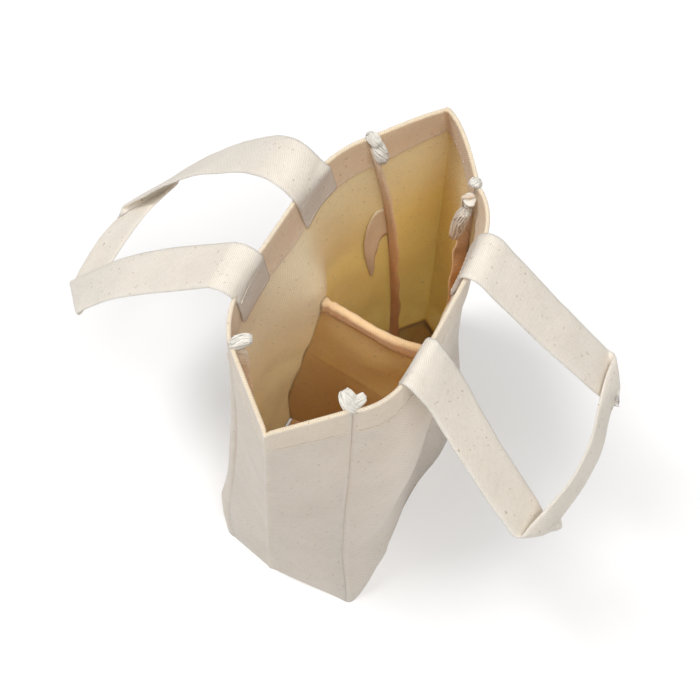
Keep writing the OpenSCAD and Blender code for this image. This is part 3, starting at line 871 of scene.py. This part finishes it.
def handle(side, near, far, near_towards, far_towards, bow, swell, seed, pulls=()):
    """A whole handle: sewn end, leg, fold, run, fold, leg and sewn end, as one closed band."""
    fold_n, fold_f = Fold(near, near_towards), Fold(far, far_towards)
    pull = np.linalg.norm(fold_f.begin - fold_n.begin) * bow
    t = np.linspace(0, 1, 160)[:, None]
    line = curve(fold_n.begin, fold_n.way * pull, fold_f.begin, -fold_f.way * pull, t)
    s_run = lengths(line)
    way = unit(np.gradient(line, axis=0))
    flip = 1.0 if fold_f.across @ fold_n.across > 0 else -1.0
    turn = unit(mix(fold_n.across, fold_f.across * flip, smooth(t)))
    turn = turn + np.array(swell) * np.sin(math.pi * t)
    across = unit(turn - way * np.sum(turn * way, 1, keepdims=True))
    total = near.s[-1] + s_run[-1] + far.s[-1]
    s = np.linspace(0, total, int(total / strap_step))
    ss, vv = np.meshgrid(s, np.linspace(-0.5, 0.5, 22) * strap_w, indexing="ij")

    q = ss - near.s[-1]
    before, after = np.minimum(q, 0)[..., None], np.maximum(q - s_run[-1], 0)[..., None]
    p = sample(q, s_run, line) + way[0] * before + way[-1] * after
    p = p + unit(sample(q, s_run, across)) * vv[..., None]
    middle = near.s[-1] + s_run[-1] / 2
    for leg, fold, s, v, here in ((near, fold_n, ss, vv, ss < middle),
                                  (far, fold_f, total - ss, vv * flip, ss > middle)):
        past = s - leg.s[-1]
        g = fold.distance(past, v)
        on_fold = here & (g > 0) & (g < fold_r * fold.angle)
        p = np.where((here & (g <= 0))[..., None], leg.at(s, v), p)
        p = np.where(on_fold[..., None], fold.wrap(past, v), p)
    sewn = smooth((sewn_l - np.minimum(ss, total - ss)) / sewn_fade)
    seat = inner_y(side, p[..., 0], np.clip(p[..., 2], 0, rim_z - rim_step), hem_t + strap_t * 0.62)
    p[..., 1] = mix(p[..., 1], seat, sewn)
    for place, move, reach in pulls:
        share = peak(np.linalg.norm(p - np.array(place) * mm, axis=-1), reach * mm)
        p = p + share[..., None] * np.array(move) * mm
    n = unit(np.cross(np.gradient(p, axis=0), np.gradient(p, axis=1)))
    edge = np.sqrt(np.clip(1 - (np.abs(vv) / (strap_w / 2)) ** 16, 0.12, 1))
    p = p + n * (ripples(seed, ss, vv, *webbing_ripples) * webbing_relief)[..., None]
    thick = n * (strap_t / 2 * edge)[..., None]
    uv = pairs(ss, vv)
    b = Build()
    b.grid(np.concatenate([p + thick, (p - thick)[:, ::-1]], 1), np.concatenate([uv, uv], 1))
    return b.object(side + "_handle_webbing", webbing)


# Threads and edges

def squared(a):
    """Across and up shares at angles a of a rounded box."""
    return [np.sign(q) * np.abs(q) ** 0.7 for q in (np.cos(a), np.sin(a))]


def wrapped_roll(name, path, across, half_w, seed):
    """A core along a path with loops of thread round it, as an overlocked edge has."""
    rng = np.random.default_rng(seed)
    half_w = np.broadcast_to(half_w, (len(path),))
    half_t = seam_t / 2
    way = unit(np.gradient(path, axis=0))
    across = unit(across)
    across = unit(across - way * np.sum(across * way, 1, keepdims=True))
    up = np.cross(way, across)
    a = 2 * math.pi * np.arange(16) / 16
    wide, high = squared(a)
    core = path[:, None] + across[:, None] * (half_w[:, None] * wide)[..., None]
    core = core + up[:, None] * (half_t * high)[:, None]
    s = lengths(path)
    b = Build()
    b.grid(core, pairs(s[:, None], a * half_w[:, None]))
    turn = 2 * math.pi * np.arange(15) / 14
    wide, high = squared(turn)
    for k in range(int(s[-1] / loop_pitch)):
        middle = (k + 0.5 + rng.normal(0, 0.10)) * loop_pitch
        slant = (0.5 + rng.normal(0, 0.12)) * loop_pitch
        at = np.clip(middle + slant * np.sin(turn * 0.5 + rng.uniform(-0.2, 0.2)), 0, s[-1])
        out = (np.interp(at, s, half_w) + loop_r * 0.45) * wide
        rise = (half_t + loop_r * 0.45) * high
        loop = sample(at, s, path) + sample(at, s, across) * out[:, None] + sample(at, s, up) * rise[:, None]
        b.tube(loop, loop_r * rng.uniform(0.8, 1.15), 5)
    # Painted shade on the overlocked edge, by its height
    return b.object(name, overlock, painted_edge_shade)


def side_seam(side, end, wave, seed):
    """The overlocked allowance of a side seam, with the wave that it takes."""
    z = np.linspace(2 * cloth_t + seam_foot_gap, rim_z - seam_rim_gap, 150)
    root = seam_point(side, end, z)
    corner = cloth_t * 1.6 + seam_gap
    root[..., 0] -= ENDS[end] * corner
    root[..., 1] -= SIDES[side] * corner
    way = SEAM_WAYS[side, end]
    bend = ripples(seed, z, 0 * z, *seam_ripples) * wave * smooth(z / seam_calm)
    angle = math.atan2(way[1], way[0]) + bend
    across = np.stack([np.cos(angle), np.sin(angle), 0 * z], -1)
    phase = np.random.default_rng(seed).uniform(0, 6)
    half_w = seam_w / 2 * (1 + 0.05 * np.sin(z / seam_wave_l + phase))
    return wrapped_roll(f"{end}_{side}_overlock", root + across * half_w[:, None], across, half_w, seed)


def base_seam(side, seed):
    """The overlocked allowance along a panel's foot, lying on the base."""
    path = panel_surface(side, np.linspace(-0.93, 0.93, 120), 0)
    path[:, 1] -= SIDES[side] * (base_inset + base_seam_gap + seam_w / 2)
    path[:, 2] = 2.2 * cloth_t
    across = np.tile([0.0, -SIDES[side], 0.12], (len(path), 1))
    return wrapped_roll(f"base_{side}_overlock", path, across, seam_w / 2, seed)


def lobe(b, points, half_w, strands, radius, seed):
    """A lump of bunched thread: a rough core with strands laid over it from its root to its tip."""
    rng = np.random.default_rng(seed)
    path, s = route(points, lobe_step)
    share = s / s[-1]
    way = unit(np.gradient(path, axis=0))
    side = unit(np.cross(way, [0.3, 0.2, 0.93]))
    up = np.cross(side, way)
    swell = half_w * mm * np.clip(np.sin(math.pi * np.clip(share * 0.8 + 0.1, 0, 1)) ** 0.5, 0.45, 1)
    a = 2 * math.pi * np.arange(20) / 20
    rough = 0.84 + 0.06 * rng.standard_normal((len(path), len(a)))
    core = path[:, None] + rings(a, side, up) * (swell[:, None] * rough)[..., None]
    b.grid(core, pairs(s[:, None], a * half_w * mm))
    for k in range(strands):
        turn = 2 * math.pi * (k + rng.uniform(-0.3, 0.3)) / strands
        drift = rng.uniform(-0.2, 0.2)
        first, last = rng.uniform(0.0, 0.15), rng.uniform(0.86, 1.0)
        t = np.linspace(first, last, 16)
        angle = turn + drift * t + 0.12 * np.sin(t * rng.uniform(6, 12) + rng.uniform(0, 6))
        out = (np.interp(t, share, swell) * rng.uniform(0.92, 1.1))[:, None]
        cos, sin = np.cos(angle)[:, None], np.sin(angle)[:, None]
        line = sample(t, share, path) + out * (cos * sample(t, share, side) + sin * sample(t, share, up))
        b.tube(line, radius * mm * rng.uniform(0.75, 1.2), 6)


def coil(b, centre, axis, radius, thick, turns, rise):
    """A rolled end of a seam allowance, seen end on."""
    axis = unit(np.array(axis, float))
    side = unit(np.cross(axis, [0.1, 1.0, 0.2]))
    a = np.linspace(0, turns * 2 * math.pi, int(turns * 26))[:, None]
    share = a / a[-1]
    spiral = mix(0.35, 1.0, share) * (np.cos(a) * side + np.sin(a) * np.cross(axis, side))
    line = np.array(centre) * mm + radius * mm * spiral + axis * rise * mm * share
    b.tube(line, thick * mm, 8)


def tuft(side, end, seed):
    """The bunched, fraying end of a seam allowance at the rim."""
    b = Build()
    for k, lump in enumerate(TUFTS[side, end]):
        lobe(b, *lump, seed + k)
    for rolled in COILS.get((side, end), ()):
        coil(b, *rolled)
    name = f"{end}_{side}_tuft_threads"
    # Painted shade on the tufts, coming in below their lit top
    return b.object(name, overlock, lambda q: smooth((rim_z - tuft_lit_h - q[:, 2]) / tuft_shade_l) * 0.5)


def stitch_row(b, points, normals, seed):
    """A row of lockstitches along a line on a surface."""
    rng = np.random.default_rng(seed)
    s = lengths(points)
    for k in range(int(s[-1] / stitch_pitch)):
        at = (k + 0.5) * stitch_pitch + np.array([-0.5, -0.4, -0.15, 0.15, 0.4, 0.5]) * stitch_l
        at = np.clip(at, 0, s[-1])
        lift = np.array([-0.6, 0.15, 0.6, 0.6, 0.15, -0.6]) * stitch_r
        line = sample(at, s, points) + sample(at, s, normals) * lift[:, None]
        b.tube(line, stitch_r * rng.uniform(0.9, 1.1), 6)


def hem_stitches():
    """The hem's stitching, outside and inside, round all four walls."""
    b = Build()
    walls = [(panel_surface, panel_inward, side, (-0.985, 0.985, 160), panel_half_w, 5) for side in SIDES]
    walls += [(gusset_surface, gusset_inward, end, part, gusset_half_w, 7)
              for end in ENDS for part in ((-0.96, -0.04, 60), (0.04, 0.96, 60))]
    for surface, into, wall, part, half_w, seed in walls:
        a = np.linspace(*part)
        z = np.full_like(a, hem_z + hem_stitch_h)
        p, n = surface(wall, a, z), into(wall, a, z)
        stitch_row(b, p, -n, seed)
        stitch_row(b, p + n * (hem_t + hem_relief(a * half_w, z, hem_t))[:, None], n, seed + 1)
    # A little painted shade on the hem's stitches
    return b.object("hem_stitches", sewing, lambda q: np.full(len(q), 0.1))


def divider_stitches():
    """The stitching of the divider's hem, on both of its faces."""
    b = Build()
    p = np.linspace(0.03, 0.97, 80)
    place = divider_middle(p, np.full_like(p, divider_top - divider_hem_h + divider_stitch_h))[0]
    for way in (-1, 1):
        normal = np.array([way * 1.0, 0, 0])
        stitch_row(b, place + normal * cloth_t * 0.95, np.tile(normal, (len(p), 1)), 9)
    # The divider's stitches take painted shade at one half
    return b.object("divider_stitches", sewing, lambda q: np.full(len(q), 0.5))


def handle_end_stitches():
    """Rows of stitches across the handles' sewn ends."""
    b = Build()
    v = np.linspace(-0.45, 0.45, 30) * strap_w
    for (side, end), leg in LEGS.items():
        low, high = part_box(f"{side}_handle_{end}_end")
        for z in (low.z + end_stitch_low, high.z - end_stitch_high):
            k = int(np.argmin(np.abs(leg.line[:30, 2] - z)))
            p = leg.at(np.full_like(v, leg.s[k]), v)
            p[:, 1] = inner_y(side, p[:, 0], p[:, 2], hem_t + strap_t * 1.12)
            stitch_row(b, p, np.tile([0.0, -SIDES[side], 0.0], (len(v), 1)), 10)
    return b.object("handle_end_stitches", sewing)


def label():
    """The blank label: a folded tape caught in the far back seam, hanging with a bend."""
    edges = []
    for edge in (LABEL_OUTER, LABEL_INNER):
        line, s = route(edge, label_step)
        edges.append(sample(np.linspace(0, s[-1], 48), s, line)[:, None])
    q = np.linspace(0, 1, 10)[None, :]
    p = mix(edges[0], edges[1], q[..., None])
    n = unit(np.cross(np.gradient(p, axis=0), np.gradient(p, axis=1)))
    n = np.where(n[..., 1:2] > 0, -n, n)
    share = np.linspace(0, 1, 48)[:, None]
    p = p + n * (np.sin(math.pi * q) * peak(share - 0.62, 0.16) * label_bend)[..., None]
    p[..., 1] = np.minimum(p[..., 1], inner_y("back", p[..., 0], p[..., 2], cloth_t + label_gap))
    thick = n * label_t / 2
    uv = pairs(label_w * q, label_l * share)
    b = Build()
    b.grid(np.concatenate([p + thick, (p - thick)[:, ::-1]], 1), np.concatenate([uv, uv[:, ::-1]], 1))
    return b.object("blank_label", tape)


# Pieces

# Middles of the handles' legs from the hem's lower edge to their corners in millimetres, and their twist
LEGS = {
    ("front", "near"): Leg([
        (-34, -54.4, 268), (-34.6, -54.8, 284), (-35.4, -56.4, 294), (-36.6, -61.5, 299.3),
        (-38, -69.5, 294.3), (-40, -81.5, 279), (-52.1, -116.9, 240.4), (-62.7, -154.4, 203.1)], -10.4),
    ("front", "far"): Leg([
        (38, -53.4, 268), (37.8, -53.8, 284), (37.5, -55.6, 294), (37.5, -60.5, 299.6),
        (37.6, -68.5, 298.3), (37.6, -82, 284.5), (39.8, -119.9, 246.0), (44.1, -154.9, 206.9)], -12.2),
    ("back", "near"): Leg([
        (-33, 47.4, 268), (-33.4, 47.8, 284), (-33.8, 49.4, 294), (-34.2, 54, 299.2),
        (-35, 62.5, 299.6), (-36.6, 74.5, 291), (-45.4, 130.9, 240.1), (-55.3, 170.0, 191.6)], -7.1),
    ("back", "far"): Leg([
        (38, 45.6, 268), (37, 46.2, 284), (36, 47.6, 294), (35.8, 51.5, 300.5), (36.6, 60, 305.3),
        (38.6, 72, 302), (41.2, 92, 284.5), (39.0, 127.5, 247.0), (30.6, 163.5, 198.7)], 24.1),
}
panels = {side: panel(side) for side in SIDES}
gusset = strip()
sheet_divider = divider()
front_strap = handle("front", LEGS["front", "near"], LEGS["front", "far"], (1, -0.17, -0.15),
                     (-1, -0.04, 0.16), 1.3, (0.01, 0.44, -0.05), 61, FRONT_PULLS)
back_strap = handle("back", LEGS["back", "near"], LEGS["back", "far"], (1, 0.15, -0.14),
                    (-1, 0.15, 0.28), 1.27, (-0.06, 0.03, 0.04), 62)
waves = {key: 0.35 if key == ("front", "far") else 0.1 for key in SEAMS}
seams = {key: side_seam(*key, waves[key], 51 + 2 * i) for i, key in enumerate(SEAMS)}
base_seams = {side: base_seam(side, 71 + i) for i, side in enumerate(SIDES)}
tufts = {key: tuft(*key, 81 + 5 * i) for i, key in enumerate(TUFTS)}
hem_thread = hem_stitches()
divider_thread = divider_stitches()
tag = label()
end_thread = handle_end_stitches()

# Every piece but the handles, with its body, the node that it replaces and its slot
pieces = [(obj, "bag", f"{side}_panel", "canvas") for side, obj in panels.items()]
pieces += [(gusset, "bag", "gusset_strip", "canvas"), (sheet_divider, "bag", "divider", "canvas")]
pieces += [(obj, "bag", f"{end}_{side}_seam", "overlocking") for (side, end), obj in seams.items()]
pieces += [(obj, "bag", f"base_{side}_seam", "overlocking") for side, obj in base_seams.items()]
pieces += [(obj, "bag", f"{end}_{side}_tuft", "overlocking") for (side, end), obj in tufts.items()]
pieces += [(tag, "label_flap", "care_label", "label_tape"),
           (hem_thread, "bag", "hem_thread", "thread"),
           (divider_thread, "bag", "divider_thread", "thread"),
           (end_thread, "bag", "handle_thread", "thread")]
for obj, body, node, slot in pieces:
    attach(obj, body)
    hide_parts(node)
# The handles keep their places in the world, baked in, and the parts that they replace are hidden
for obj, side, sign in ((front_strap, "front", -1), (back_strap, "back", 1)):
    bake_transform(obj)
    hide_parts(f"{side}_handle", f"{side}_handle_near_end", f"{side}_handle_far_end")

# Camera, at the photograph's place and angle
camera_place = (-0.360086, -0.189275, 1.104930)
camera_right = (0.469472, -0.882948, 0.0)
camera_up = (0.808482, 0.429878, 0.401948)
camera_back = (-0.354899, -0.188703, 0.915663)
camera_data = bpy.data.cameras.new("camera")
camera_data.sensor_width = 36
camera_data.lens = 82.286
camera_data.clip_end = 50
camera = placed("camera", camera_data)
turn = Matrix((camera_right, camera_up, camera_back)).transposed().to_4x4()
camera.matrix_world = Matrix.Translation(camera_place) @ turn
bpy.context.scene.camera = camera

# Floor, lit plainly, with a little light of its own towards the camera so that it shows white
reach = 4.0
corners = [(-reach, -reach, 0), (reach, -reach, 0), (reach, reach, 0), (-reach, reach, 0)]
floor_mesh = bpy.data.meshes.new("floor")
floor_mesh.from_pydata(corners, [], [(0, 1, 2, 3)])
floor = placed("floor", floor_mesh)
white = Nodes("white_floor")
paint = white.add("ShaderNodeBsdfDiffuse", {"Color": (0.78, 0.78, 0.78, 1)})
rays = white.add("ShaderNodeLightPath").outputs
mirrored = white.math("MAXIMUM", rays["Is Glossy Ray"], rays["Is Transmission Ray"])
seen = white.math("MAXIMUM", rays["Is Camera Ray"], mirrored)
shine = white.math("MULTIPLY", seen, 0.21)
glow = white.add("ShaderNodeEmission", {"Color": (1, 1, 1, 1), "Strength": shine})
both = white.add("ShaderNodeAddShader", {0: paint.outputs[0], 1: glow.outputs[0]})
floor_mesh.materials.append(white.surface(both))


# Light

def area_light(name, place, target, size, energy):
    """A round lamp that looks at its target."""
    data = bpy.data.lights.new(name, "AREA")
    data.shape = "DISK"
    data.size = size
    data.energy = energy
    obj = placed(name, data)
    obj.location = place
    obj.rotation_euler = (Vector(target) - Vector(place)).to_track_quat("-Z", "Y").to_euler()


area_light("key", (-0.7, 2.0, 6.0), (0, 0, 0.1), 1.8, 185)
area_light("top", (-1.3, -1.7, 5.6), (0, 0, 0.1), 2.6, 160)
world = bpy.data.worlds.new("studio")
bpy.context.scene.world = world
world.use_nodes = True
sky = world.node_tree.nodes["Background"].inputs
sky["Color"].default_value = (1, 1, 1, 1)
sky["Strength"].default_value = 0.28
bpy.context.scene.view_settings.view_transform = "Standard"
